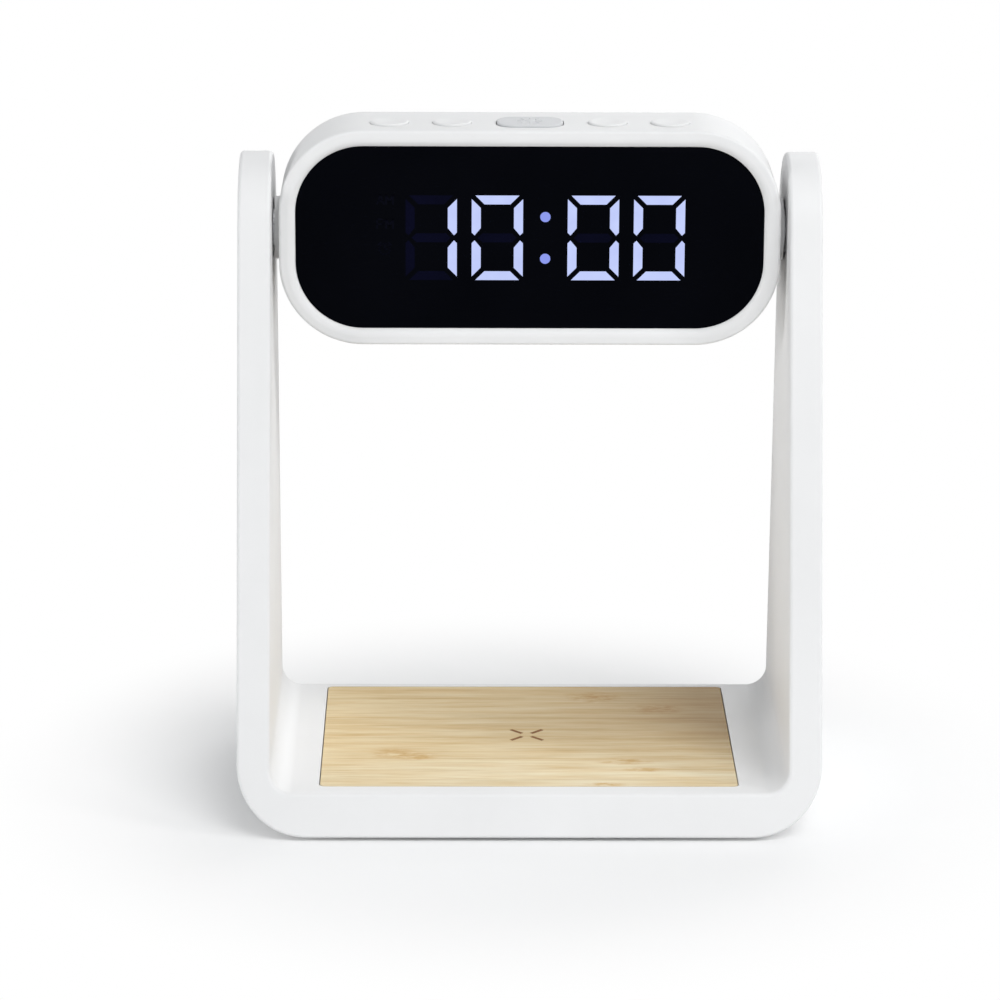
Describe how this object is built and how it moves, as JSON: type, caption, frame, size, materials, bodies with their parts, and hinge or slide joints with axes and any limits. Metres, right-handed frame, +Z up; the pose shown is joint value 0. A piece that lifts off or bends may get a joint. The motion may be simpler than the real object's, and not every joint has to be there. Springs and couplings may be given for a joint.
{
  "type": "digital clock lamp",
  "caption": "Bedside clock lamp: U-shaped stand with a bamboo wireless charging pad, and a tilting head with an LED time display, rear lamp and push buttons.",
  "frame": {"origin": "middle of the footprint, on the plane the rubber feet stand on", "axes": "+Z up, -Y towards the user who reads the display, +X to that user's right"},
  "size_m": [0.16, 0.098, 0.1873],
  "materials": {
    "white_plastic": "fine satin texture",
    "grey_plastic": "satin",
    "display_black": "polished",
    "lit_guide": "backlit",
    "unlit_guide": "polished",
    "bamboo": "oiled",
    "adhesive": "tacky film",
    "rubber": "matte",
    "wire_jacket": "matte",
    "steel": "brushed",
    "copper_wire": "enamelled",
    "ferrite": "matte",
    "board": "solder mask",
    "component_black": "moulded",
    "lamp_board_white": "solder mask",
    "lamp_led": "phosphor",
    "diffuser": "opal"
  },
  "bodies": {
    "frame": {"u_frame": "white_plastic", "left_arm_cover": "white_plastic", "right_arm_cover": "white_plastic", "base_cover": "white_plastic", "base_screws": "steel", "rubber_feet": "rubber", "bamboo_pad": "bamboo", "pad_adhesive": "adhesive", "charging_coil": "copper_wire", "ferrite_sheet": "ferrite", "charger_board": "board", "charger_components": "component_black", "charger_board_screws": "steel", "usb_c_socket": "steel", "left_bush": "grey_plastic", "right_bush": "grey_plastic", "left_friction_washer": "steel", "right_friction_washer": "steel", "arm_harness": "wire_jacket"},
    "head": {"head_shell": "white_plastic", "back_cover": "white_plastic", "back_cover_screws": "steel", "display_lens": "display_black", "led_display_body": "display_black", "lit_segments": "lit_guide", "unlit_segments": "unlit_guide", "clock_board": "board", "clock_board_screws": "steel", "clock_components": "component_black", "buzzer": "component_black", "switch_board": "board", "switch_board_screws": "steel", "tact_switches": "component_black", "lamp_board": "lamp_board_white", "lamp_leds": "lamp_led", "lamp_diffuser": "diffuser", "left_pivot_bolt": "steel", "right_pivot_bolt": "steel", "left_collar": "white_plastic", "right_collar": "white_plastic", "left_pivot_nut": "steel", "right_pivot_nut": "steel", "head_harness": "wire_jacket"},
    "left_outer_key": {"left_outer_button": "white_plastic", "left_outer_plunger": "component_black"},
    "left_inner_key": {"left_inner_button": "white_plastic", "left_inner_plunger": "component_black"},
    "lamp_key": {"lamp_button": "grey_plastic", "lamp_plunger": "component_black"},
    "right_inner_key": {"right_inner_button": "white_plastic", "right_inner_plunger": "component_black"},
    "right_outer_key": {"right_outer_button": "white_plastic", "right_outer_plunger": "component_black"}
  },
  "joints": [
    {"name": "head_tilt", "type": "hinge", "parent": "frame", "child": "head", "pos_m": [0, 0.0187, 0.1564], "axis": [-1, 0, 0], "range_deg": [-90, 180]},
    {"name": "left_outer_press", "type": "slide", "parent": "head", "child": "left_outer_key", "axis": [0, 0, -1], "range_m": [0, 0.0006], "stiffness_N_per_m": 3000},
    {"name": "left_inner_press", "type": "slide", "parent": "head", "child": "left_inner_key", "axis": [0, 0, -1], "range_m": [0, 0.0006], "stiffness_N_per_m": 3000},
    {"name": "lamp_press", "type": "slide", "parent": "head", "child": "lamp_key", "axis": [0, 0, -1], "range_m": [0, 0.0006], "stiffness_N_per_m": 3000},
    {"name": "right_inner_press", "type": "slide", "parent": "head", "child": "right_inner_key", "axis": [0, 0, -1], "range_m": [0, 0.0006], "stiffness_N_per_m": 3000},
    {"name": "right_outer_press", "type": "slide", "parent": "head", "child": "right_outer_key", "axis": [0, 0, -1], "range_m": [0, 0.0006], "stiffness_N_per_m": 3000}
  ]
}
